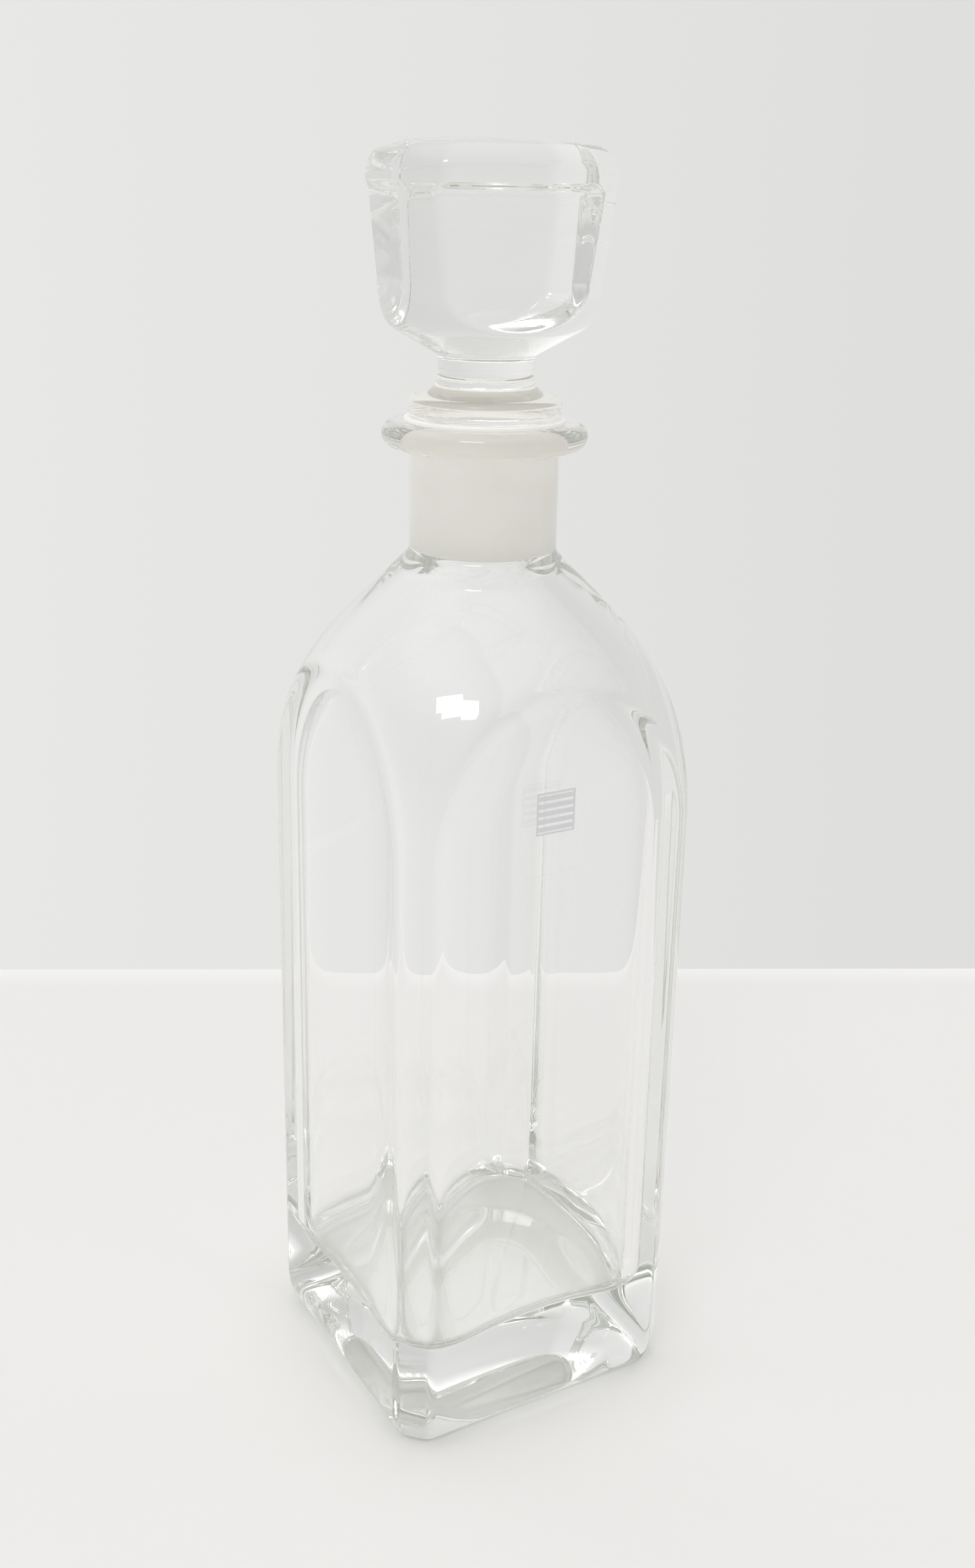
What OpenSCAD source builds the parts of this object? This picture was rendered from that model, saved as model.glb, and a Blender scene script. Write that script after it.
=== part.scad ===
// Square glass decanter with a square glass stopper, a soft seal on the stopper's plug
// and a film label. The origin is the middle of the underside, and +Z points up.
// The label is on the front panel, which faces -Y.

/* [Body] */
// Width across two opposite flat panels
body_w = 76; // [70:0.5:80]
// Diameter across the rounded corners
corner_span = 98.8; // [96:0.2:102]
// Height at which the walls start to curve in to the shoulder
shoulder_z = 149.2; // [120:0.1:160]
// Radius of the arc that rounds the shoulder
shoulder_r = 63; // [58:0.5:66]
// Height of the curve between the walls and the underside
heel_h = 10; // [6:0.5:14]
// How far that curve pulls in at the underside
heel_in = 4.5; // [2:0.1:6]
// Depth of the hollow under the base
punt_depth = 3; // [1:0.1:4]

/* [Cavity] */
// Thickness of the glass behind a flat panel
wall = 5; // [4:0.1:6]
// Thickness of the glass at a rounded corner and over the shoulder
corner_wall = 8; // [6:0.1:10]
// Height of the inner floor at its middle
floor_z = 30; // [22:0.1:32]
// Radius of the sphere that crowns the inner floor
floor_r = 105; // [90:1:300]

/* [Neck] */
// Outer diameter of the neck
neck_d = 33; // [32:0.1:34]
// Diameter of the bore
bore_d = 24; // [23:0.1:24.6]
// Height of the top of the lip
lip_top = 236.6; // [232:0.1:240]
// Diameter over the lip
lip_d = 45.4; // [43:0.1:47]
// Radius of the lip's rounded edge
lip_r = 2.8; // [2.4:0.1:3]

/* [Stopper seal] */
// Wall thickness of the sleeve
sleeve_wall = 1.2; // [1:0.05:1.5]
// Height of the sleeve's lower end
sleeve_z = 207.6; // [206:0.1:212]
// Diameter of the flange
flange_d = 35.4; // [34:0.1:37]
// Thickness of the flange
flange_t = 0.8; // [0.6:0.05:1.2]
// Gap between the sleeve and the bore, on the radius
sleeve_gap = 0.05; // [0.02:0.01:0.09]
// Gap between the plug and the sleeve, on the radius
plug_gap = 0.03; // [0.02:0.01:0.09]

/* [Stopper] */
// Turn of the stopper about the upright axis
stopper_turn = -13; // [-45:1:45]
// Width of the head's top band across two opposite flats
head_w = 46.4; // [45:0.2:48]
// Diameter of the top band across its rounded corners
head_span = 56.2; // [55:0.2:58]
// Height of the top band
band_h = 8.5; // [7:0.5:11]
// How far the flats step in below the top band
band_step = 1.1; // [0.4:0.1:1.6]
// How much narrower the head is across the flats at the foot of its sides
flat_taper = 2.6; // [1:0.1:4]
// How much narrower it is across its corners there
corner_taper = 4.6; // [2:0.1:6]
// Height of the top of the head
head_top = 294.5; // [290:0.5:300]
// Height at which the bowl under the head starts
bowl_z = 250.6; // [249:0.1:252]
// Slope of the bowl, from level
bowl_slope = 29; // [26:1:34]
// Diameter of the stem
stem_d = 21; // [20:0.1:22]
// Diameter of the collar
collar_d = 33.8; // [32:0.1:34]
// Thickness of the collar
collar_t = 4.8; // [3.6:0.1:5]

/* [Label] */
// Width of the film
film_w = 15.4; // [12:0.1:18]
// Height of the film
film_h = 19.8; // [16:0.1:24]
// Thickness of the film
film_t = 0.12; // [0.08:0.01:0.2]
// Middle of the film, from the middle of the panel
film_x = -3.4; // [-8:0.1:8]
// Height of the middle of the film
film_z = 154; // [120:0.5:160]
// Side of the printed square
print_w = 9.7; // [7:0.1:11]
// Thickness of the print
print_t = 0.04; // [0.02:0.01:0.08]

/* [Hidden] */

$fn = 96;

// Body and shoulder
half_w = body_w / 2;
corner_r = corner_span / 2;
slope = 45;
shoulder_end_r = corner_r - shoulder_r * (1 - cos(slope));
shoulder_end_z = shoulder_z + shoulder_r * sin(slope);
tall = lip_top + 10;

// Neck and lip
neck_r = neck_d / 2;
bore_r = bore_d / 2;
neck_fillet = 2;
fillet_z = shoulder_end_z + shoulder_end_r - neck_r - neck_fillet * (1 - cos(slope))
    + neck_fillet * sin(slope);
lip_edge_r = lip_d / 2 - lip_r;
lip_mid_z = lip_top - lip_r;
under_lip_r = 0.8;
mouth_r = 1.2;

// Cavity, with its shoulder concentric with the outer one
cavity_half = half_w - wall;
cavity_r = corner_r - corner_wall;
cavity_arc = shoulder_r - corner_wall;
cavity_end_r = cavity_r - cavity_arc * (1 - cos(slope));
cavity_end_z = shoulder_z + cavity_arc * sin(slope);
bore_z = cavity_end_z + cavity_end_r - bore_r;
floor_edge = asin(cavity_r / floor_r);
punt_r = (pow(half_w - heel_in - 5, 2) + pow(punt_depth, 2)) / (2 * punt_depth);

// Seal and plug
sleeve_r = bore_r - sleeve_gap;
sleeve_in_r = sleeve_r - sleeve_wall;
plug_r = sleeve_in_r - plug_gap;
plug_z = sleeve_z + 1;
plug_edge = 1.5;

// Stopper
collar_z = lip_top + flange_t;
collar_top = collar_z + collar_t;
collar_r = collar_d / 2;
collar_edge = 1.6;
stem_r = stem_d / 2;
flare = 4.4;
bowl_fillet = 1.6;
bowl_edge = 12;
head_half = head_w / 2;
head_r = head_span / 2;
band_z = head_top - band_h;
band_foot = band_z - 2.2;
side_r = head_r - corner_taper / 2;
foot_half = head_half - band_step - flat_taper / 2;
side_z = bowl_z + tan(bowl_slope) * (side_r - bowl_edge * (1 - sin(bowl_slope)) - stem_r)
    + bowl_edge * cos(bowl_slope);
rim_edge = 6.5;
crown_lean = 6;
crown_r = rim_edge + (head_r - rim_edge) / sin(crown_lean);
rim_z = head_top - crown_r + (crown_r - rim_edge) * cos(crown_lean);
side_lean = atan(corner_taper / 2 / (rim_z - side_z));

// Points along an arc about [x, z], from angle a0 to a1
function arc(x, z, r, a0, a1, n = 8) =
    [for (i = [0:n]) let (a = a0 + (a1 - a0) * i / n) [x + r * cos(a), z + r * sin(a)]];

// The quarter ellipse of the heel, from the underside up to the wall at r
function heel(r, n = 8) =
    [for (i = [0:n]) let (a = 90 * i / n) [r - heel_in * (1 - sin(a)), heel_h * (1 - cos(a))]];

// Outside of the bottle, from the underside to the lip
function bottle_outline() = concat(
    [[0, 0]],
    heel(corner_r),
    arc(corner_r - shoulder_r, shoulder_z, shoulder_r, 0, slope, 18),
    arc(neck_r + neck_fillet, fillet_z, neck_fillet, 180 + slope, 180, 4),
    arc(neck_r + under_lip_r, lip_mid_z - lip_r - under_lip_r, under_lip_r, 180, 90, 4),
    arc(lip_edge_r, lip_mid_z, lip_r, -90, 90, 16),
    [[0, lip_top]]);

// Cavity, from the crowned floor through the bore and out of the rounded mouth
function cavity_outline() = concat(
    arc(0, floor_z - floor_r, floor_r, 90, 90 - floor_edge, 10),
    arc(cavity_r - cavity_arc, shoulder_z, cavity_arc, 0, slope, 18),
    [[bore_r, bore_z]],
    arc(bore_r + mouth_r, lip_top - mouth_r, mouth_r, 180, 90, 4),
    [[bore_r + mouth_r, tall], [0, tall]]);

// The stopper, from the end of the plug to the top of the head
function stopper_outline() = concat(
    [[0, plug_z]],
    arc(plug_r - plug_edge, plug_z + plug_edge, plug_edge, -90, 0, 5),
    [[plug_r, collar_z]],
    arc(collar_r - collar_edge, collar_z + collar_edge, collar_edge, -90, 0, 6),
    arc(collar_r - collar_edge, collar_top - collar_edge, collar_edge, 0, 90, 6),
    arc(stem_r + flare, collar_top + flare, flare, -90, -180, 8),
    arc(stem_r + bowl_fillet, bowl_z - bowl_fillet * (1 - sin(bowl_slope)) / cos(bowl_slope),
        bowl_fillet, 180, 90 + bowl_slope, 4),
    arc(side_r - bowl_edge, side_z, bowl_edge, -90 + bowl_slope, -side_lean, 9),
    arc(head_r - rim_edge, rim_z, rim_edge, 0, 90 - crown_lean, 10),
    arc(0, head_top - crown_r, crown_r, 90 - crown_lean, 90, 5));

// Square bar whose four sides follow the points of side, from the bottom up
module square_bar(side, across) {
    outline = concat(side, [for (i = [len(side) - 1:-1:0]) [-side[i][0], side[i][1]]]);
    intersection() {
        rotate([90, 0, 0]) linear_extrude(across, center = true) polygon(outline);
        rotate([90, 0, 90]) linear_extrude(across, center = true) polygon(outline);
    }
}

// The hollow inside the bottle, with its bore
module cavity() {
    intersection() {
        rotate_extrude() polygon(cavity_outline());
        translate([-cavity_half, -cavity_half, 0]) cube([2 * cavity_half, 2 * cavity_half, tall]);
    }
}

module bottle() {
    color("honeydew", 0.5) difference() {
        intersection() {
            rotate_extrude() polygon(bottle_outline());
            square_bar(concat(heel(half_w), [[half_w, tall]]), corner_span);
        }
        cavity();
        translate([0, 0, punt_depth - punt_r]) sphere(punt_r);
    }
}

module stopper() {
    color("honeydew", 0.5) rotate(stopper_turn) intersection() {
        rotate_extrude() polygon(stopper_outline());
        square_bar(concat(
            [[foot_half, 0], [foot_half, side_z]],
            [[head_half - band_step, band_foot], [head_half, band_z]],
            arc(head_half - rim_edge, head_top - rim_edge, rim_edge, 0, 90)), head_span);
    }
}

// Sleeve round the plug, with a flange that lies on the lip
module stopper_seal() {
    color("ivory") difference() {
        union() {
            translate([0, 0, sleeve_z]) cylinder(h = lip_top - sleeve_z, r = sleeve_r);
            translate([0, 0, lip_top]) cylinder(h = flange_t, r = flange_d / 2);
        }
        translate([0, 0, sleeve_z - 1]) cylinder(h = tall - sleeve_z, r = sleeve_in_r);
    }
}

// Plate of width w and height h standing on the front panel, with rounded corners
module front_plate(w, h, t, corner, x, z, y) {
    translate([x, y, z]) rotate([90, 0, 0]) linear_extrude(t) union() {
        square([w - 2 * corner, h], center = true);
        square([w, h - 2 * corner], center = true);
        for (sx = [-1, 1], sz = [-1, 1])
            translate([sx * (w / 2 - corner), sz * (h / 2 - corner)]) circle(corner);
    }
}

module label_film() {
    color("white", 0.4) front_plate(film_w, film_h, film_t, 1.6, film_x, film_z, -half_w);
}

// Printed square on the upper part of the film
module label_print() {
    color("silver") front_plate(print_w, print_w, print_t, 0.2, film_x + 0.9,
        film_z + film_h / 2 - 0.7 - print_w / 2, -half_w - film_t);
}

bottle();
stopper();
stopper_seal();
label_film();
label_print();
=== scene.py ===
"""Square glass decanter with a square glass stopper, its soft sleeve and a film label.

The bottle and the stopper are clear moulded glass, each one closed shell. The sleeve is
milky polyethylene round the stopper's plug, and the label is a clear film with a small
printed square. Lengths in the classes are millimetres.
"""

import logging  # noqa: E402
import math  # noqa: E402
from dataclasses import dataclass, field  # noqa: E402
from enum import Enum  # noqa: E402
from typing import Callable, Sequence  # noqa: E402

import bpy  # noqa: E402
import numpy as np  # noqa: E402
from mathutils import Matrix, Vector  # noqa: E402


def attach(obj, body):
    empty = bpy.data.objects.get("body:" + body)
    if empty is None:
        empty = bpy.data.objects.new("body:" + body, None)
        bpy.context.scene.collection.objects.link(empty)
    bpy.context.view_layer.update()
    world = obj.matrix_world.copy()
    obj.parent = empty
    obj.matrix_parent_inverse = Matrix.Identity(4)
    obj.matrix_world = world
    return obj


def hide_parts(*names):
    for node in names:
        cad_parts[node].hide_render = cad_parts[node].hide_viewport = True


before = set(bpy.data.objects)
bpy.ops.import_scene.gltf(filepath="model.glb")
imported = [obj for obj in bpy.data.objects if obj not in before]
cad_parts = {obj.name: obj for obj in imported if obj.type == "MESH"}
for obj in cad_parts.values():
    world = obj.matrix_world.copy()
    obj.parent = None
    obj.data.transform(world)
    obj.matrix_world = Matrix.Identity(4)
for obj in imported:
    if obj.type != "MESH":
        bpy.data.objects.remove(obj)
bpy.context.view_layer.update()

MM = 0.001
LOG = logging.getLogger("decanter")


class Body(Enum):
    """The moving bodies that the pieces ride on."""

    BOTTLE = "bottle"
    SEAL = "seal"
    STOPPER = "stopper"


def smooth_min(a: np.ndarray, b: np.ndarray, soft: float) -> np.ndarray:
    """Lower of two values, rounded over where they meet.

    Args:
        a: First values.
        b: Second values.
        soft: How far apart the two may be and still be blended.

    Returns:
        The blended lower values.
    """
    share = np.clip(0.5 + 0.5 * (b - a) / soft, 0.0, 1.0)
    return b * (1 - share) + a * share - soft * share * (1 - share)


def steady(distance: float) -> Callable[[float], float]:
    """Distance of flats that stand upright.

    Args:
        distance: Their distance from the axis.

    Returns:
        The distance as a function of the height.
    """
    return lambda height: distance


def linear(hex_colour: str, alpha: float = 1.0) -> tuple[float, float, float, float]:
    """Linear colour of an sRGB hex value.

    Args:
        hex_colour: Six hex digits after a hash sign.
        alpha: Fourth number of the result.

    Returns:
        Red, green, blue and alpha.
    """
    parts = [int(hex_colour[i : i + 2], 16) / 255 for i in (1, 3, 5)]
    lin = [c / 12.92 if c <= 0.04045 else ((c + 0.055) / 1.055) ** 2.4 for c in parts]
    return (lin[0], lin[1], lin[2], alpha)


def add_node(
    tree: bpy.types.NodeTree,
    kind: str,
    settings: dict[str, object] | None = None,
    inputs: dict[str, object] | None = None,
) -> bpy.types.Node:
    """Adds a node, sets it up and links what feeds it.

    Args:
        tree: Node tree that gets the node.
        kind: The node's type name.
        settings: The node's own properties.
        inputs: Values for its sockets, or output sockets to link to them.

    Returns:
        The new node.
    """
    node = tree.nodes.new(kind)
    for name, value in (settings or {}).items():
        setattr(node, name, value)
    for name, value in (inputs or {}).items():
        socket = node.inputs[int(name[1:])] if name.startswith("#") else node.inputs[name]
        if isinstance(value, bpy.types.NodeSocket):
            tree.links.new(value, socket)
        else:
            socket.default_value = value
    return node


def new_material(name: str) -> tuple[bpy.types.Material, bpy.types.NodeTree]:
    """Empty material with a node tree.

    Args:
        name: Name of the material.

    Returns:
        The material and its node tree.
    """
    material = bpy.data.materials.new(name)
    material.use_nodes = True
    material.node_tree.nodes.clear()
    return material, material.node_tree


@dataclass(frozen=True)
class MouldedSodaLimeGlass:
    """Clear soda-lime glass, pressed and blown in a polished iron mould.

    The eye sees an almost colourless glass whose thick base and edges turn a faint
    grey-green, with a fire-polished skin that is a little wavy.
    """

    name: str
    skin: str = "#FFFFFF"
    depth_colour: str = "#DEE1DB"
    density: float = 4.5
    ior: float = 1.52
    wave_mm: float = 14.0
    wave_depth_mm: float = 0.012
    wave_detail: float = 1.5
    wave_rough: float = 0.4

    def material(self) -> bpy.types.Material:
        """Builds the glass with its tint in depth and its skin.

        Returns:
            The material.
        """
        material, tree = new_material(self.name)
        place = add_node(tree, "ShaderNodeTexCoord")
        waves = add_node(
            tree,
            "ShaderNodeTexNoise",
            inputs={
                "Vector": place.outputs["Object"],
                "Scale": 1 / (self.wave_mm * MM),
                "Detail": self.wave_detail,
                "Roughness": self.wave_rough,
            },
        )
        bump = add_node(
            tree,
            "ShaderNodeBump",
            inputs={
                "Strength": 1.0,
                "Distance": self.wave_depth_mm * MM,
                "Height": waves.outputs[0],
            },
        )
        shader = add_node(
            tree,
            "ShaderNodeBsdfPrincipled",
            inputs={
                "Base Color": linear(self.skin),
                "Metallic": 0.0,
                "Roughness": 0.0,
                "IOR": self.ior,
                "Transmission Weight": 1.0,
                "Normal": bump.outputs[0],
            },
        )
        depth = add_node(
            tree,
            "ShaderNodeVolumeAbsorption",
            inputs={"Color": linear(self.depth_colour), "Density": self.density},
        )
        add_node(
            tree,
            "ShaderNodeOutputMaterial",
            inputs={"Surface": shader.outputs[0], "Volume": depth.outputs[0]},
        )
        return material


@dataclass(frozen=True)
class MilkyPolyethylene:
    """Natural low-density polyethylene, injection moulded.

    The eye sees a waxy, cream-white sleeve with a soft, slightly uneven sheen that
    lets a little light through.
    """

    name: str = "milky_polyethylene_moulded"
    light: str = "#FCFAF6"
    dark: str = "#F8F4EE"
    cloud_mm: float = 9.0
    grain_mm: float = 0.6
    grain_depth_mm: float = 0.01
    grain_share: float = 0.3
    roughness: tuple[float, float] = (0.34, 0.5)
    ior: float = 1.51
    scatter: float = 0.35
    scatter_mm: float = 2.0
    scatter_colour: tuple[float, float, float] = (1.0, 0.9, 0.8)

    def material(self) -> bpy.types.Material:
        """Builds the plastic with faint clouds in its colour and a fine grain.

        Returns:
            The material.
        """
        material, tree = new_material(self.name)
        place = add_node(tree, "ShaderNodeTexCoord")
        clouds = add_node(
            tree,
            "ShaderNodeTexNoise",
            inputs={"Vector": place.outputs["Object"], "Scale": 1 / (self.cloud_mm * MM)},
        )
        grain = add_node(
            tree,
            "ShaderNodeTexNoise",
            inputs={"Vector": place.outputs["Object"], "Scale": 1 / (self.grain_mm * MM)},
        )
        colour = add_node(
            tree,
            "ShaderNodeMix",
            {"data_type": "RGBA"},
            {"#0": clouds.outputs[0], "#6": linear(self.dark), "#7": linear(self.light)},
        )
        rough = add_node(
            tree,
            "ShaderNodeMapRange",
            inputs={
                "Value": grain.outputs[0],
                "To Min": self.roughness[0],
                "To Max": self.roughness[1],
            },
        )
        bump = add_node(
            tree,
            "ShaderNodeBump",
            inputs={
                "Strength": self.grain_share,
                "Distance": self.grain_depth_mm * MM,
                "Height": grain.outputs[0],
            },
        )
        shader = add_node(
            tree,
            "ShaderNodeBsdfPrincipled",
            inputs={
                "Base Color": colour.outputs[2],
                "Roughness": rough.outputs[0],
                "IOR": self.ior,
                "Subsurface Weight": self.scatter,
                "Subsurface Radius": self.scatter_colour,
                "Subsurface Scale": self.scatter_mm * MM,
                "Normal": bump.outputs[0],
            },
        )
        add_node(
            tree, "ShaderNodeOutputMaterial", inputs={"Surface": shader.outputs[0]}
        )
        return material


@dataclass(frozen=True)
class ClearAdhesiveFilm:
    """Clear polypropylene label film with its glue behind it.

    The eye sees a faint rounded rectangle on the glass that catches the light along
    its cut edge. Its index is set low, so that the film shows as little as one that
    its glue joins to the glass.
    """

    name: str = "clear_label_film"
    tint: str = "#FFFFFF"
    ior: float = 1.2
    ripple_mm: float = 3.0
    ripple_detail: float = 3.0
    ripple_depth_mm: float = 0.004
    ripple_share: float = 0.6

    def material(self) -> bpy.types.Material:
        """Builds the film with a slight ripple from its glue.

        Returns:
            The material.
        """
        material, tree = new_material(self.name)
        place = add_node(tree, "ShaderNodeTexCoord")
        ripple = add_node(
            tree,
            "ShaderNodeTexNoise",
            inputs={
                "Vector": place.outputs["Object"],
                "Scale": 1 / (self.ripple_mm * MM),
                "Detail": self.ripple_detail,
            },
        )
        bump = add_node(
            tree,
            "ShaderNodeBump",
            inputs={
                "Strength": self.ripple_share,
                "Distance": self.ripple_depth_mm * MM,
                "Height": ripple.outputs[0],
            },
        )
        shader = add_node(
            tree,
            "ShaderNodeBsdfPrincipled",
            inputs={
                "Base Color": linear(self.tint),
                "Roughness": 0.0,
                "IOR": self.ior,
                "Transmission Weight": 1.0,
                "Normal": bump.outputs[0],
            },
        )
        add_node(
            tree, "ShaderNodeOutputMaterial", inputs={"Surface": shader.outputs[0]}
        )
        return material


@dataclass(frozen=True)
class SilverGreyInk:
    """Screen-printed silver-grey ink, a little mottled and half covering.

    The eye sees a cool grey patch with a dull metal shimmer.
    """

    name: str = "silver_grey_screen_ink"
    light: str = "#E4E4E6"
    dark: str = "#D8D8DB"
    mesh_mm: float = 0.35
    mottle_detail: float = 2.0
    roughness: tuple[float, float] = (0.35, 0.6)
    metallic: float = 0.2

    def material(self) -> bpy.types.Material:
        """Builds the ink with the mottle that the printing screen leaves.

        Returns:
            The material.
        """
        material, tree = new_material(self.name)
        place = add_node(tree, "ShaderNodeTexCoord")
        mottle = add_node(
            tree,
            "ShaderNodeTexNoise",
            inputs={
                "Vector": place.outputs["Object"],
                "Scale": 1 / (self.mesh_mm * MM),
                "Detail": self.mottle_detail,
            },
        )
        colour = add_node(
            tree,
            "ShaderNodeMix",
            {"data_type": "RGBA"},
            {"#0": mottle.outputs[0], "#6": linear(self.dark), "#7": linear(self.light)},
        )
        rough = add_node(
            tree,
            "ShaderNodeMapRange",
            inputs={
                "Value": mottle.outputs[0],
                "To Min": self.roughness[0],
                "To Max": self.roughness[1],
            },
        )
        shader = add_node(
            tree,
            "ShaderNodeBsdfPrincipled",
            inputs={
                "Base Color": colour.outputs[2],
                "Roughness": rough.outputs[0],
                "Metallic": self.metallic,
            },
        )
        add_node(
            tree, "ShaderNodeOutputMaterial", inputs={"Surface": shader.outputs[0]}
        )
        return material


@dataclass(frozen=True)
class MattWhiteTabletop:
    """White board with a matt lacquer; a painted highlight makes it slightly paler along its far
    edge, where the real edge is rounded and catches the light.

    The eye sees a plain pale surface that ends in a fine light line, which is a painted highlight.
    """

    name: str = "matt_white_tabletop"
    colour: str = "#E5E4E3"
    edge_highlight_colour: str = "#EDECEB"
    painted_highlight_width: float = 16.0
    roughness: float = 0.75
    specular: float = 0.2

    def material(
        self, inward: tuple[float, float, float], edge: float
    ) -> bpy.types.Material:
        """Builds the lacquer with the painted highlight along its far edge.

        Args:
            inward: Direction that runs to the far edge.
            edge: Distance of that edge from the origin along it.

        Returns:
            The material.
        """
        material, tree = new_material(self.name)
        place = add_node(tree, "ShaderNodeTexCoord")
        depth = add_node(
            tree,
            "ShaderNodeVectorMath",
            {"operation": "DOT_PRODUCT"},
            {"#0": place.outputs["Object"], "#1": inward},
        )
        # Painted highlight: the colour turns paler over the last stretch before the far edge,
        # standing in for light caught by its rounded edge.
        painted_edge_highlight = add_node(
            tree,
            "ShaderNodeMapRange",
            {"interpolation_type": "SMOOTHSTEP"},
            {
                "Value": depth.outputs["Value"],
                "From Min": (edge - self.painted_highlight_width) * MM,
                "From Max": edge * MM,
            },
        )
        colour = add_node(
            tree,
            "ShaderNodeMix",
            {"data_type": "RGBA"},
            {
                "#0": painted_edge_highlight.outputs[0],
                "#6": linear(self.colour),
                "#7": linear(self.edge_highlight_colour),
            },
        )
        shader = add_node(
            tree,
            "ShaderNodeBsdfPrincipled",
            inputs={
                "Base Color": colour.outputs[2],
                "Roughness": self.roughness,
                "Specular IOR Level": self.specular,
            },
        )
        add_node(tree, "ShaderNodeOutputMaterial", inputs={"Surface": shader.outputs[0]})
        return material


@dataclass
class RingStack:
    """Rings of points round the upright axis, pressed flat on four sides.

    The glass is laid out ring by ring, because its flats fade into the round parts
    along soft curves. Each ring's columns crowd together where the two meet, so that
    the crease between them stays crisp on a modest mesh.

    Attributes:
        octant: Columns in an eighth of a turn.
        crowd: How many times denser the columns are at a crease.
        spread: Width of the crowded part, in degrees.
        fade: How far inside the flats a round ring still has crowded columns.
        samples: Steps along an eighth of a turn from which the columns are picked.
        rows: The rings so far.
    """

    octant: int = 24
    crowd: float = 7.0
    spread: float = 2.4
    fade: float = 1.2
    samples: int = 901
    rows: list[np.ndarray] = field(default_factory=list)

    def angles(self, round_r: float, flat: float) -> np.ndarray:
        """Angles of one ring's columns, in radians, from -45 degrees once round.

        Args:
            round_r: Radius of the round part.
            flat: Distance of the flats from the axis.

        Returns:
            The angles, with the last one a full turn after the first.
        """
        t = np.linspace(0, 45, self.samples)
        crease = math.degrees(math.acos(min(1.0, flat / max(round_r, 1e-6))))
        weight = self.crowd * math.exp(-((max(0.0, flat - round_r) / self.fade) ** 2))
        dense = np.ones_like(t)
        for middle in (crease, -crease, 90 - crease):
            dense += weight * np.exp(-(((t - middle) / self.spread) ** 2))
        run = np.concatenate([[0], np.cumsum((dense[1:] + dense[:-1]) / 2)])
        eighth = np.interp(np.linspace(0, run[-1], self.octant + 1), run, t)
        quarter = np.concatenate([-eighth[::-1], eighth[1:]])
        turn = np.concatenate([quarter[:-1] + 90 * q for q in range(4)] + [[315.0]])
        return np.radians(turn)

    def edge(
        self, round_r: float, flat: float, soft: float
    ) -> tuple[np.ndarray, np.ndarray]:
        """Angles and radii of a ring on the pressed outline.

        Args:
            round_r: Radius of the round part.
            flat: Distance of the flats from the axis.
            soft: Softness of the crease between them.

        Returns:
            Angles and radii.
        """
        angles = self.angles(round_r, flat)
        off = (angles + math.pi / 4) % (math.pi / 2) - math.pi / 4
        radii = smooth_min(np.full_like(off, round_r), flat / np.cos(off), soft)
        return angles, radii

    def row(
        self, angles: np.ndarray, radii: np.ndarray | float, heights: np.ndarray | float
    ) -> None:
        """Adds a ring.

        Args:
            angles: Angles of its columns, in radians.
            radii: Their distances from the axis.
            heights: Their heights.
        """
        radii = np.broadcast_to(radii, angles.shape)
        heights = np.broadcast_to(heights, angles.shape)
        self.rows.append(
            np.stack([radii * np.cos(angles), radii * np.sin(angles), heights], axis=1)
        )

    def level(self, round_r: float, flat: float, z: float, soft: float) -> None:
        """Adds a level ring on the pressed outline.

        Args:
            round_r: Radius of the round part.
            flat: Distance of the flats from the axis.
            z: Height of the ring.
            soft: Softness of the crease.
        """
        angles, radii = self.edge(round_r, flat, soft)
        self.row(angles, radii, z)

    def arc(
        self,
        middle: tuple[float, float],
        radius: float,
        start: float,
        end: float,
        count: int,
        flat: Callable[[float], float],
        soft: float,
    ) -> None:
        """Adds level rings along an arc of the outline.

        Args:
            middle: The arc's centre, from the axis and up.
            radius: The arc's radius.
            start: First angle, in degrees.
            end: Last angle, in degrees.
            count: Number of steps.
            flat: Distance of the flats from the axis, by height.
            soft: Softness of the crease.
        """
        for a in np.radians(np.linspace(start, end, count + 1)):
            z = middle[1] + radius * math.sin(a)
            self.level(middle[0] + radius * math.cos(a), flat(z), z, soft)

    def skin(self, name: str, turn: float = 0.0) -> bpy.types.Object:
        """Wraps a grid on the rings and closes its seam and its two poles.

        Args:
            name: Name of the new piece.
            turn: Turn about the upright axis, in degrees.

        Returns:
            The piece, as one closed shell with its normals outwards.
        """
        points = np.stack(self.rows) * MM
        rows, columns = points.shape[:2]
        bpy.ops.object.select_all(action="DESELECT")
        bpy.ops.mesh.primitive_grid_add(
            x_subdivisions=columns - 1, y_subdivisions=rows - 1, size=2.0
        )
        obj = bpy.context.object
        obj.name = name
        obj.data.name = name
        flat = np.zeros(len(obj.data.vertices) * 3)
        obj.data.vertices.foreach_get("co", flat)
        flat = flat.reshape(-1, 3)
        i = np.rint((flat[:, 0] + 1) / 2 * (columns - 1)).astype(int)
        j = np.rint((flat[:, 1] + 1) / 2 * (rows - 1)).astype(int)
        cos, sin = math.cos(math.radians(turn)), math.sin(math.radians(turn))
        spin = np.array([[cos, sin, 0], [-sin, cos, 0], [0, 0, 1]])
        obj.data.vertices.foreach_set("co", (points[j, i] @ spin).astype(np.float32).ravel())
        obj.data.update()
        close_shell(obj)
        return obj


def close_shell(obj: bpy.types.Object, reach: float = 2e-7) -> None:
    """Merges doubled points and turns the faces outwards.

    Args:
        obj: The piece.
        reach: Merge distance, in metres.
    """
    bpy.ops.object.select_all(action="DESELECT")
    bpy.context.view_layer.objects.active = obj
    obj.select_set(True)
    bpy.ops.object.mode_set(mode="EDIT")
    bpy.ops.mesh.select_all(action="SELECT")
    bpy.ops.mesh.remove_doubles(threshold=reach)
    bpy.ops.mesh.normals_make_consistent(inside=False)
    bpy.ops.object.mode_set(mode="OBJECT")
    obj.data.shade_smooth()


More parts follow.
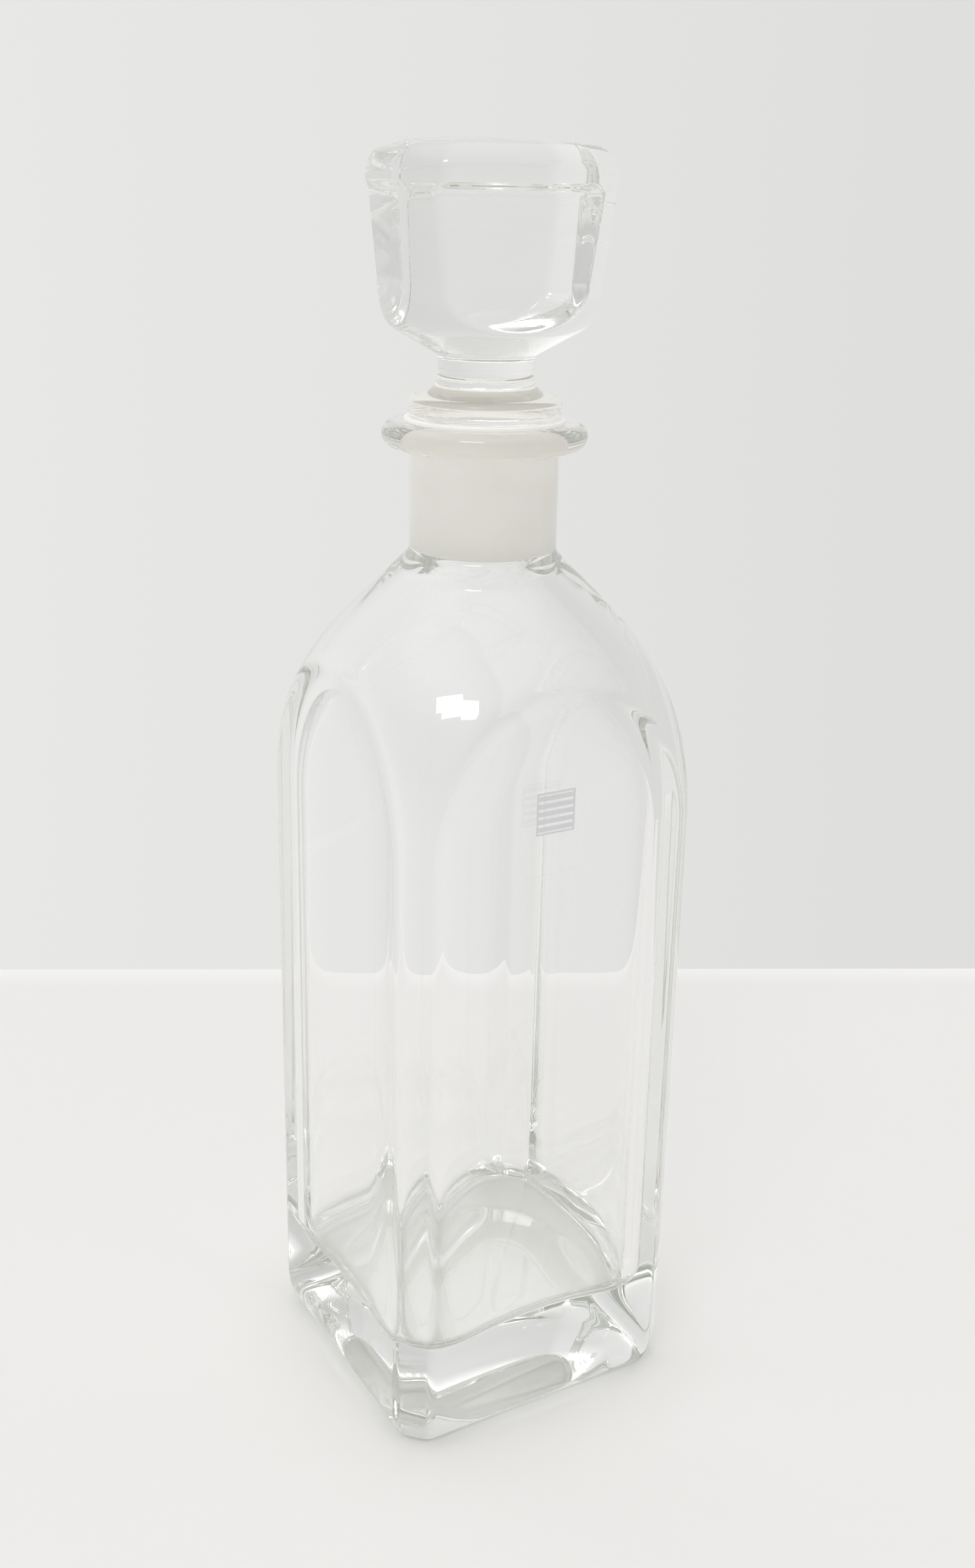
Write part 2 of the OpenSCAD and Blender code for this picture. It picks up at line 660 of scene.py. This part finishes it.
def dress(
    obj: bpy.types.Object,
    material: bpy.types.Material,
    body: Body,
    node: str,
) -> None:
    """Gives a piece its finish and its place in the assembly, and reports it.

    Args:
        obj: The piece.
        material: Its material.
        body: The moving body that it rides on.
        node: The CAD node that it stands for.
    """
    obj.data.materials.clear()
    obj.data.materials.append(material)
    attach(obj, body.value)
    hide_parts(node)
    LOG.info(
        "%s: %d points, %d faces", obj.name, len(obj.data.vertices), len(obj.data.polygons)
    )


@dataclass
class Bottle:
    """The bottle: a tall square body with arched panels, a round neck and a lip."""

    half: float = 38.0
    corner_r: float = 49.4
    shoulder_z: float = 149.2
    shoulder_r: float = 63.0
    heel_h: float = 10.0
    heel_in: float = 4.5
    punt_depth: float = 3.0
    punt_edge: float = 29.5
    wall: float = 5.0
    corner_wall: float = 8.0
    floor_z: float = 30.0
    floor_r: float = 105.0
    floor_fillet: float = 4.5
    neck_r: float = 16.5
    bore_r: float = 12.0
    lip_top: float = 236.6
    lip_r: float = 2.8
    lip_out: float = 22.7
    crease: float = 1.1
    inner_crease: float = 4.5
    round_crease: float = 0.5
    neck_fillet: float = 3.0
    under_lip_r: float = 0.8
    mouth_r: float = 1.2
    bore_foot_r: float = 8.0
    punt_soft: float = 0.35
    punt_rings_r: float = 26.0

    def outside(self, rings: RingStack) -> None:
        """Adds the rings from the hollow underside up to the lip.

        Args:
            rings: The stack that gets them.
        """
        base_r, base_flat = self.corner_r - self.heel_in, self.half - self.heel_in
        angles, edge = rings.edge(base_r, base_flat, self.crease)
        inner = self.punt_rings_r
        for r in np.linspace(0, inner, 13)[:-1]:
            rings.row(angles, np.full_like(edge, r), self.punt(np.full_like(edge, r)))
        for t in np.linspace(0, 1, 15)[:-1]:
            r = inner * (1 - t) + edge * t
            rings.row(angles, r, np.maximum(self.punt(r), 0.0) * (1 - t**4))
        for a in np.radians(np.linspace(0, 90, 13)):
            pull = self.heel_in * (1 - math.sin(a))
            rings.level(
                self.corner_r - pull,
                self.half - pull,
                self.heel_h * (1 - math.cos(a)),
                self.crease,
            )
        for z in np.linspace(self.heel_h, self.shoulder_z, 34)[1:-1]:
            rings.level(self.corner_r, self.half, z, self.crease)
        flat = steady(self.half)
        arc_x = self.corner_r - self.shoulder_r
        rings.arc((arc_x, self.shoulder_z), self.shoulder_r, 0, 45, 72, flat, self.crease)
        end_r = arc_x + self.shoulder_r * math.cos(math.radians(45))
        end_z = self.shoulder_z + self.shoulder_r * math.sin(math.radians(45))
        fillet = self.neck_fillet
        stop_r = self.neck_r + fillet * (1 - math.cos(math.radians(45)))
        fillet_z = end_z + end_r - self.neck_r - fillet + (2 * math.sqrt(0.5)) * fillet
        for r in np.linspace(end_r, stop_r, 14)[1:-1]:
            rings.level(r, self.half, end_z + end_r - r, self.crease)
        soft, under_r = self.round_crease, self.under_lip_r
        rings.arc((self.neck_r + fillet, fillet_z), fillet, 225, 180, 8, flat, soft)
        lip_mid = self.lip_top - self.lip_r
        under_z = lip_mid - self.lip_r - under_r
        for z in np.linspace(fillet_z, under_z, 10)[1:-1]:
            rings.level(self.neck_r, self.half, z, soft)
        rings.arc((self.neck_r + under_r, under_z), under_r, 180, 90, 6, flat, soft)
        rings.arc((self.lip_out - self.lip_r, lip_mid), self.lip_r, -90, 90, 24, flat, soft)

    def punt(self, r: np.ndarray) -> np.ndarray:
        """Height of the hollow underside.

        Args:
            r: Distances from the axis.

        Returns:
            The heights, 0 outside the hollow.
        """
        punt_r = (self.punt_edge**2 + self.punt_depth**2) / (2 * self.punt_depth)
        dome = np.sqrt(punt_r**2 - r**2) - (punt_r - self.punt_depth)
        return -smooth_min(-dome, np.zeros_like(dome), self.punt_soft)

    def inside(self, rings: RingStack) -> None:
        """Adds the rings from the mouth down the bore to the crowned floor.

        Args:
            rings: The stack that gets them.
        """
        half, corner = self.half - self.wall, self.corner_r - self.corner_wall
        flat, soft = steady(half), self.inner_crease
        root = math.sqrt(0.5)
        arc_r = self.shoulder_r - self.corner_wall
        mouth, turn_r = self.mouth_r, self.bore_foot_r
        for r in np.linspace(self.lip_out - self.lip_r, self.bore_r + mouth, 6)[1:-1]:
            rings.level(r, half, self.lip_top, soft)
        rings.arc((self.bore_r + mouth, self.lip_top - mouth), mouth, 90, 180, 8, flat, soft)
        arc_x = corner - arc_r
        end_r = arc_x + arc_r * root
        end_z = self.shoulder_z + arc_r * root
        turn_z = end_z + end_r - self.bore_r + turn_r * math.tan(math.radians(22.5))
        for z in np.linspace(self.lip_top - mouth, turn_z, 16)[1:-1]:
            rings.level(self.bore_r, half, z, soft)
        rings.arc((self.bore_r + turn_r, turn_z), turn_r, 180, 225, 8, flat, soft)
        stop_r = self.bore_r + turn_r * (1 - root)
        for r in np.linspace(stop_r, end_r, 12)[1:-1]:
            rings.level(r, half, end_z + end_r - r, soft)
        rings.arc((arc_x, self.shoulder_z), arc_r, 45, 0, 60, flat, soft)
        angles, edge = rings.edge(corner, half, soft)
        fillet = self.floor_fillet
        lean = np.arcsin((edge - fillet) / self.floor_r)
        start_r = edge - fillet - fillet * np.sin(lean)
        middle_z = self.crown(start_r) + fillet * np.cos(lean)
        for t in np.linspace(0, 1, 34)[1:]:
            rings.row(angles, edge, self.shoulder_z * (1 - t) + middle_z * t)
        for t in np.linspace(0, 1, 11)[1:]:
            phi = math.pi / 2 * (1 - t) - lean * t
            rings.row(
                angles,
                edge - fillet + fillet * np.sin(phi),
                middle_z - fillet * np.cos(phi),
            )
        for t in np.linspace(1, 0, 22)[1:]:
            rings.row(angles, start_r * t, self.crown(start_r * t))

    def crown(self, r: np.ndarray) -> np.ndarray:
        """Height of the crowned floor at a distance from the axis."""
        return self.floor_z - self.floor_r + np.sqrt(self.floor_r**2 - r**2)

    def build(self) -> bpy.types.Object:
        """Builds the bottle and dresses it.

        Returns:
            The piece.
        """
        rings = RingStack(octant=31, crowd=9.0, spread=2.2)
        self.outside(rings)
        self.inside(rings)
        obj = rings.skin("bottle_glass")
        glass = MouldedSodaLimeGlass("clear_soda_lime_glass_bottle").material()
        dress(obj, glass, Body.BOTTLE, "bottle")
        return obj


@dataclass
class Stopper:
    """The stopper: a solid square head on a round stem, with a collar and a plug."""

    turn: float = -13.0
    half: float = 23.2
    head_r: float = 28.1
    band_z: float = 286.0
    band_foot: float = 283.8
    band_step: float = 1.1
    taper: float = 1.3
    corner_taper: float = 2.3
    head_top: float = 294.5
    bowl_z: float = 250.6
    bowl_slope: float = 29.0
    bowl_edge: float = 12.0
    bowl_fillet: float = 1.6
    rim_edge: float = 6.5
    crown_lean: float = 6.0
    stem_r: float = 10.5
    flare: float = 4.4
    collar_r: float = 16.9
    collar_edge: float = 1.6
    collar_z: float = 237.4
    collar_top: float = 242.2
    plug_r: float = 10.72
    plug_z: float = 208.6
    plug_edge: float = 1.5
    crease: float = 0.9
    under_collar: float = 0.3
    plug_step: float = 0.1

    def side_foot(self) -> tuple[float, float]:
        """Works out where the sides of the head start.

        Returns:
            Radius of the round corners there, and the height.
        """
        slope = math.radians(self.bowl_slope)
        side_r = self.head_r - self.corner_taper
        run = side_r - self.bowl_edge * (1 - math.sin(slope)) - self.stem_r
        return side_r, self.bowl_z + math.tan(slope) * run + self.bowl_edge * math.cos(slope)

    def inset(self, z: float, step: float, taper: float) -> float:
        """How far the sides lie inside the top band at a height.

        Args:
            z: The height.
            step: How far they step in right below the band.
            taper: How much further in they are at their foot.

        Returns:
            The distance.
        """
        foot = self.band_foot
        rise = min(1.0, max(0.0, (z - foot) / (self.band_z - foot)))
        fall = min(1.0, max(0.0, (foot - z) / (foot - self.side_foot()[1])))
        return step * (1 - rise * rise * (3 - 2 * rise)) + taper * fall

    def flat(self, z: float) -> float:
        """Distance of the flats from the axis at a height."""
        return self.half - self.inset(z, self.band_step, self.taper)

    def corner(self, z: float) -> float:
        """Radius of the head's round corners at a height."""
        return self.head_r - self.inset(z, 0.0, self.corner_taper)

    def rings(self) -> RingStack:
        """Makes the rings from the end of the plug to the top of the head.

        Returns:
            The stack with all of them.
        """
        rings = RingStack(octant=24, crowd=7.0, spread=3.0)
        flat, soft = self.flat, self.crease
        angles = rings.angles(self.plug_r, self.half)
        for r in np.linspace(0, self.plug_r - self.plug_edge, 8)[:-1]:
            rings.row(angles, r, self.plug_z)
        rings.arc(
            (self.plug_r - self.plug_edge, self.plug_z + self.plug_edge),
            self.plug_edge, -90, 0, 8, flat, soft,
        )
        for z in np.linspace(self.plug_z + self.plug_edge, self.collar_z - self.under_collar, 14)[1:]:
            rings.level(self.plug_r, flat(z), z, soft)
        edge, collar = self.collar_edge, self.collar_r
        for r in np.linspace(self.plug_r + self.plug_step, collar - edge, 6)[:-1]:
            rings.level(r, flat(self.collar_z), self.collar_z, soft)
        rings.arc((collar - edge, self.collar_z + edge), edge, -90, 0, 8, flat, soft)
        rings.arc((collar - edge, self.collar_top - edge), edge, 0, 90, 8, flat, soft)
        rings.arc(
            (self.stem_r + self.flare, self.collar_top + self.flare),
            self.flare, -90, -180, 10, flat, soft,
        )
        slope = math.radians(self.bowl_slope)
        fillet = self.bowl_fillet
        fillet_z = self.bowl_z - fillet * (1 - math.sin(slope)) / math.cos(slope)
        for z in np.linspace(self.collar_top + self.flare, fillet_z, 5)[1:-1]:
            rings.level(self.stem_r, flat(z), z, soft)
        rings.arc(
            (self.stem_r + fillet, fillet_z), fillet, 180, 90 + self.bowl_slope, 6, flat, soft
        )
        side_r, side_z = self.side_foot()
        foot_r = side_r - self.bowl_edge + self.bowl_edge * math.sin(slope)
        foot_z = side_z - self.bowl_edge * math.cos(slope)
        top_r = self.stem_r + fillet - fillet * math.sin(slope)
        top_z = fillet_z + fillet * math.cos(slope)
        for t in np.linspace(0, 1, 10)[1:-1]:
            z = top_z * (1 - t) + foot_z * t
            rings.level(top_r * (1 - t) + foot_r * t, flat(z), z, soft)
        rings.arc(
            (side_r - self.bowl_edge, side_z),
            self.bowl_edge, -90 + self.bowl_slope, 0, 26, flat, soft,
        )
        self.head(rings)
        return rings

    def head(self, rings: RingStack) -> None:
        """Adds the rings of the head's sides, its top band and its crowned top.

        Args:
            rings: The stack that gets them.
        """
        soft, rim = self.crease, self.rim_edge
        lean = math.radians(self.crown_lean)
        crown_r = rim + (self.head_r - rim) / math.sin(lean)
        angles, edge = rings.edge(self.head_r, self.half, soft)
        last_r = edge - rim + rim * math.sin(lean)
        last_z = self.head_top - crown_r + np.sqrt(crown_r**2 - last_r**2)
        middle_z = last_z - rim * math.cos(lean)
        sides = np.linspace(self.side_foot()[1], self.band_foot, 16)[1:]
        for z in [*sides, *np.linspace(self.band_foot, self.band_z, 15)[1:]]:
            rings.level(self.corner(z), self.flat(z), z, soft)
        for t in np.linspace(0, 1, 5)[1:]:
            rings.row(angles, edge, self.band_z * (1 - t) + middle_z * t)
        for phi in np.linspace(0, math.pi / 2 - lean, 15)[1:]:
            rings.row(
                angles, edge - rim + rim * math.cos(phi), middle_z + rim * math.sin(phi)
            )
        for t in np.linspace(1, 0, 20)[1:]:
            r = last_r * t
            rings.row(angles, r, self.head_top - crown_r + np.sqrt(crown_r**2 - r**2))

    def build(self) -> bpy.types.Object:
        """Builds the stopper and dresses it.

        Returns:
            The piece.
        """
        obj = self.rings().skin("stopper_glass", self.turn)
        glass = MouldedSodaLimeGlass("clear_soda_lime_glass_stopper").material()
        dress(obj, glass, Body.STOPPER, "stopper")
        return obj


@dataclass
class Seal:
    """The soft sleeve round the plug, with a flange that lies on the lip."""

    inner_r: float = 10.70
    outer_r: float = 12.02
    low_z: float = 207.6
    lip_z: float = 236.6
    flange_r: float = 17.7
    flange_t: float = 0.8
    round_edge: float = 0.22
    touch: float = 0.02
    merge_reach: float = 2e-6
    bevel_from: float = 40.0
    sharp_from: float = 35.0

    def build(self) -> bpy.types.Object:
        """Draws the section as a closed loop, spins it once round and dresses it.

        Returns:
            The piece.
        """
        top = self.lip_z + self.flange_t + self.touch
        corners = [
            (self.inner_r, self.low_z),
            (self.outer_r, self.low_z),
            (self.outer_r, self.lip_z - self.touch),
            (self.flange_r, self.lip_z - self.touch),
            (self.flange_r, top),
            (self.inner_r, top),
        ]
        bpy.ops.object.select_all(action="DESELECT")
        bpy.ops.mesh.primitive_circle_add(vertices=len(corners), radius=1.0)
        obj = bpy.context.object
        obj.name = "stopper_sleeve"
        obj.data.name = obj.name
        for vertex, (r, z) in zip(obj.data.vertices, corners):
            vertex.co = (r * MM, 0.0, z * MM)
        bpy.ops.object.mode_set(mode="EDIT")
        bpy.ops.mesh.select_all(action="SELECT")
        bpy.ops.mesh.spin(
            steps=128, angle=math.tau, center=(0, 0, 0), axis=(0, 0, 1), use_auto_merge=True
        )
        bpy.ops.object.mode_set(mode="OBJECT")
        close_shell(obj, self.merge_reach)
        bevel = obj.modifiers.new("soft_edges", "BEVEL")
        bevel.width = self.round_edge * MM
        bevel.segments = 3
        bevel.limit_method = "ANGLE"
        bevel.angle_limit = math.radians(self.bevel_from)
        bpy.ops.object.modifier_apply(modifier=bevel.name)
        bpy.ops.object.shade_smooth_by_angle(angle=math.radians(self.sharp_from))
        dress(obj, MilkyPolyethylene().material(), Body.SEAL, "stopper_seal")
        return obj


@dataclass
class Label:
    """The clear film on the front panel, with a plain printed square of stripes."""

    face: float = -38.0
    film_w: float = 15.4
    film_h: float = 19.8
    film_t: float = 0.12
    film_x: float = -3.4
    film_z: float = 154.0
    corner: float = 1.6
    print_w: float = 9.7
    print_t: float = 0.04
    print_right: float = 0.9
    print_down: float = 0.7
    stripes: int = 5
    stripe_share: float = 0.62
    frame_w: float = 0.45
    sharp_from: float = 40.0
    tolerance: float = 1e-9

    def plate(
        self, name: str, middle: tuple[float, float, float], size: tuple[float, float, float]
    ) -> bpy.types.Object:
        """Adds a thin upright plate.

        Args:
            name: Name of the plate.
            middle: Its middle.
            size: Its width, thickness and height.

        Returns:
            The plate, with its place in its mesh.
        """
        bpy.ops.object.select_all(action="DESELECT")
        bpy.ops.mesh.primitive_cube_add(size=1.0)
        obj = bpy.context.object
        obj.name = name
        obj.data.name = name
        obj.data.transform(
            Matrix.Translation(Vector(middle) * MM)
            @ Matrix.Diagonal((size[0] * MM, size[1] * MM, size[2] * MM, 1.0))
        )
        return obj

    def round_corners(self, obj: bpy.types.Object, radius: float) -> None:
        """Bevels the four edges that run through a plate.

        Args:
            obj: The plate.
            radius: Radius of its corners.
        """
        bpy.context.view_layer.objects.active = obj
        bpy.ops.object.mode_set(mode="EDIT")
        bpy.ops.mesh.select_mode(type="EDGE")
        bpy.ops.mesh.select_all(action="DESELECT")
        bpy.ops.object.mode_set(mode="OBJECT")
        for edge in obj.data.edges:
            a, b = (obj.data.vertices[i].co for i in edge.vertices)
            edge.select = max(abs(a.x - b.x), abs(a.z - b.z)) < self.tolerance
        bpy.ops.object.mode_set(mode="EDIT")
        bpy.ops.mesh.bevel(offset=radius * MM, segments=8, affect="EDGES")
        bpy.ops.object.mode_set(mode="OBJECT")

    def build_film(self) -> bpy.types.Object:
        """Builds the film and dresses it.

        Returns:
            The piece.
        """
        y = self.face - self.film_t / 2
        obj = self.plate(
            "label_film_sheet",
            (self.film_x, y, self.film_z),
            (self.film_w, self.film_t, self.film_h),
        )
        self.round_corners(obj, self.corner)
        bpy.ops.object.shade_smooth_by_angle(angle=math.radians(self.sharp_from))
        dress(obj, ClearAdhesiveFilm().material(), Body.BOTTLE, "label_film")
        return obj

    def build_print(self) -> bpy.types.Object:
        """Builds the printed square, a thin frame round plain stripes, and dresses it.

        Returns:
            The piece.
        """
        w, t, f = self.print_w, self.print_t, self.frame_w
        x = self.film_x + self.print_right
        z = self.film_z + self.film_h / 2 - self.print_down - w / 2
        y = self.face - self.film_t - t / 2
        parts = [
            self.plate("print_left", (x - w / 2 + f / 2, y, z), (f, t, w)),
            self.plate("print_right", (x + w / 2 - f / 2, y, z), (f, t, w)),
            self.plate("print_foot", (x, y, z - w / 2 + f / 2), (w - 2 * f, t, f)),
            self.plate("print_head", (x, y, z + w / 2 - f / 2), (w - 2 * f, t, f)),
        ]
        pitch = (w - 2 * f) / self.stripes
        for i in range(self.stripes):
            mid = z - w / 2 + f + pitch * (i + 0.5)
            size = (w - 2 * f, t, pitch * self.stripe_share)
            parts.append(self.plate(f"print_{i}", (x, y, mid), size))
        bpy.ops.object.select_all(action="DESELECT")
        for part in parts:
            part.select_set(True)
        bpy.context.view_layer.objects.active = parts[0]
        bpy.ops.object.join()
        obj = bpy.context.object
        obj.name = "label_print_square"
        obj.data.name = obj.name
        dress(obj, SilverGreyInk().material(), Body.BOTTLE, "label_print")
        return obj


@dataclass(frozen=True)
class Pane:
    """One pane of the roof window that lights the decanter.

    Attributes:
        name: Name of the light.
        place: Its middle.
        across: The direction of its width.
        size: Its width and height.
        power: Its power, in watts.
    """

    name: str
    place: tuple[float, float, float]
    across: tuple[float, float, float]
    size: tuple[float, float]
    power: float


@dataclass
class Studio:
    """The pale tabletop and backdrop, the soft lights and the camera.

    The stops of the two sides of the room are sines of elevations, each with its
    light, and the camera's angles are in radians.
    """

    toward: tuple[float, float] = (0.5, 0.8660254)
    table_edge: float = 213.2
    table_slant: float = 0.044
    table_reach: float = 3000.0
    table_gap: float = 0.3
    panes: tuple[Pane, ...] = (
        Pane("window_left", (-979, -726, 1500), (426, -254, 0), (440, 215), 1.9),
        Pane("window_right", (-759, -966, 1500), (300, -213, 0), (330, 190), 1.5),
    )
    lit_height: float = 150.0
    ceiling: float = 1.55
    far_room: tuple[tuple[float, float], ...] = (
        (-1.0, 0.8),
        (0.1, 0.8),
        (0.35, 0.78),
        (0.7, 0.84),
        (0.86, 1.35),
        (1.0, 1.55),
    )
    near_room: tuple[tuple[float, float], ...] = (
        (-1.0, 0.8),
        (0.1, 0.74),
        (0.28, 0.6),
        (0.6, 0.7),
        (0.84, 1.4),
        (1.0, 1.55),
    )
    room_blend: float = 0.6
    side_blend: float = 0.5
    side_light: tuple[float, float] = (1.05, 0.88)
    blue_share: float = 0.99
    camera_place: tuple[float, float, float] = (-186.35, -322.77, 286.0)
    yaw: float = 0.006
    pitch: float = math.radians(19.75)
    roll: float = 0.021
    sensor: float = 36.0
    lens: float = 38.5767174
    bounces: int = 96
    clear_bounces: int = 12
    clamp: float = 6.0

    def floor(self) -> None:
        """Lays the tabletop, which ends behind the decanter."""
        bpy.ops.object.select_all(action="DESELECT")
        bpy.ops.mesh.primitive_plane_add(size=2.0)
        obj = bpy.context.object
        obj.name = "tabletop"
        fx, fy = self.toward
        rx, ry = fy, -fx
        reach, slant = self.table_reach, self.table_slant
        for vertex in obj.data.vertices:
            s, f = reach * round(vertex.co.x), reach * round(vertex.co.y)
            if f > 0:
                f = self.table_edge + slant * s
            place = (rx * s + fx * f, ry * s + fy * f, -self.table_gap)
            vertex.co = [length * MM for length in place]
        inward = (fx - slant * rx, fy - slant * ry, 0.0)
        obj.data.materials.append(MattWhiteTabletop().material(inward, self.table_edge))

    def hang(self, pane: Pane) -> None:
        """Hangs one pane so that it faces the decanter.

        Args:
            pane: The pane.
        """
        lamp = bpy.data.lights.new(pane.name, "AREA")
        lamp.shape = "RECTANGLE"
        lamp.size, lamp.size_y = pane.size[0] * MM, pane.size[1] * MM
        lamp.energy = pane.power
        obj = bpy.data.objects.new(pane.name, lamp)
        bpy.context.scene.collection.objects.link(obj)
        place = Vector(pane.place)
        back = (place - Vector((0.0, 0.0, self.lit_height))).normalized()
        wide = Vector(pane.across)
        wide = (wide - back * wide.dot(back)).normalized()
        turn = Matrix((wide, back.cross(wide), back)).transposed()
        obj.matrix_world = Matrix.Translation(place * MM) @ turn.to_4x4()

    def room(self) -> None:
        """Sets the pale room, darker on the camera's side and to the right."""
        world = bpy.data.worlds.new("pale_room")
        bpy.context.scene.world = world
        world.use_nodes = True
        tree = world.node_tree
        tree.nodes.clear()
        fx, fy = self.toward
        place = add_node(tree, "ShaderNodeTexCoord")
        split = add_node(
            tree, "ShaderNodeSeparateXYZ", inputs={"Vector": place.outputs["Generated"]}
        )
        near = add_node(
            tree,
            "ShaderNodeVectorMath",
            {"operation": "DOT_PRODUCT"},
            {"#0": place.outputs["Generated"], "#1": (-fx, -fy, 0.0)},
        )
        side = add_node(
            tree,
            "ShaderNodeMapRange",
            {"interpolation_type": "SMOOTHSTEP"},
            {
                "Value": near.outputs["Value"],
                "From Min": -self.room_blend,
                "From Max": self.room_blend,
            },
        )
        far_wall = self.sky(tree, split.outputs["Z"], self.far_room)
        near_wall = self.sky(tree, split.outputs["Z"], self.near_room)
        room = add_node(
            tree,
            "ShaderNodeMix",
            {"data_type": "RGBA"},
            {"#0": side.outputs[0], "#6": far_wall, "#7": near_wall},
        )
        sideways = add_node(
            tree,
            "ShaderNodeVectorMath",
            {"operation": "DOT_PRODUCT"},
            {"#0": place.outputs["Generated"], "#1": (fy, -fx, 0.0)},
        )
        dim = add_node(
            tree,
            "ShaderNodeMapRange",
            inputs={
                "Value": sideways.outputs["Value"],
                "From Min": -self.side_blend,
                "From Max": self.side_blend,
                "To Min": self.ceiling * self.side_light[0],
                "To Max": self.ceiling * self.side_light[1],
            },
        )
        back = add_node(
            tree,
            "ShaderNodeBackground",
            inputs={"Color": room.outputs[2], "Strength": dim.outputs[0]},
        )
        add_node(tree, "ShaderNodeOutputWorld", inputs={"Surface": back.outputs[0]})

    def sky(
        self,
        tree: bpy.types.NodeTree,
        height: bpy.types.NodeSocket,
        stops: Sequence[tuple[float, float]],
    ) -> bpy.types.NodeSocket:
        """Grey by height above the horizon.

        Args:
            tree: The world's node tree.
            height: Sine of the elevation.
            stops: Sines of elevations, each with its light.

        Returns:
            The socket with the grey.
        """
        along = add_node(
            tree,
            "ShaderNodeMapRange",
            inputs={"Value": height, "From Min": -1.0, "From Max": 1.0},
        )
        ramp = add_node(tree, "ShaderNodeValToRGB", inputs={"Fac": along.outputs[0]})
        band = ramp.color_ramp
        while len(band.elements) < len(stops):
            band.elements.new(0.5)
        for element, (sine, light) in zip(band.elements, stops):
            element.position = (sine + 1) / 2
            grey = light / self.ceiling
            element.color = (grey, grey, grey * self.blue_share, 1.0)
        return ramp.outputs[0]

    def camera(self) -> None:
        """Sets the camera, in front of the left corner and above the lip."""
        lens = bpy.data.cameras.new("camera")
        lens.sensor_width, lens.lens = self.sensor, self.lens
        lens.clip_start, lens.clip_end = 0.01, 50.0
        obj = bpy.data.objects.new("camera", lens)
        bpy.context.scene.collection.objects.link(obj)
        fx, fy = self.toward
        cos, sin = math.cos(self.yaw), math.sin(self.yaw)
        level = Vector((fx * cos + fy * sin, fy * cos - fx * sin, 0.0))
        ahead = level * math.cos(self.pitch) + Vector((0, 0, -math.sin(self.pitch)))
        right = level.cross(Vector((0, 0, 1))).normalized()
        up = right.cross(ahead).normalized()
        side = right * math.cos(self.roll) + up * math.sin(self.roll)
        top = side.cross(ahead).normalized()
        turn = Matrix((side, top, -ahead)).transposed()
        place = Matrix.Translation(Vector(self.camera_place) * MM)
        obj.matrix_world = place @ turn.to_4x4()
        bpy.context.scene.camera = obj

    def build(self) -> None:
        """Sets up the floor, the lights, the camera and how deep light is followed."""
        self.floor()
        for pane in self.panes:
            self.hang(pane)
        self.room()
        self.camera()
        scene = bpy.context.scene
        scene.view_settings.view_transform = "Standard"
        scene.cycles.blur_glossy = 0.0
        scene.cycles.sample_clamp_indirect = self.clamp
        scene.cycles.max_bounces = self.bounces
        scene.cycles.transmission_bounces = self.bounces
        scene.cycles.glossy_bounces = self.bounces
        scene.cycles.transparent_max_bounces = self.clear_bounces


def main() -> None:
    """Builds the pieces in order, then the studio."""
    logging.basicConfig(level=logging.INFO, format="%(name)s %(message)s")
    Bottle().build()
    Stopper().build()
    Seal().build()
    label = Label()
    label.build_film()
    label.build_print()
    Studio().build()


if __name__ == "__main__":
    main()
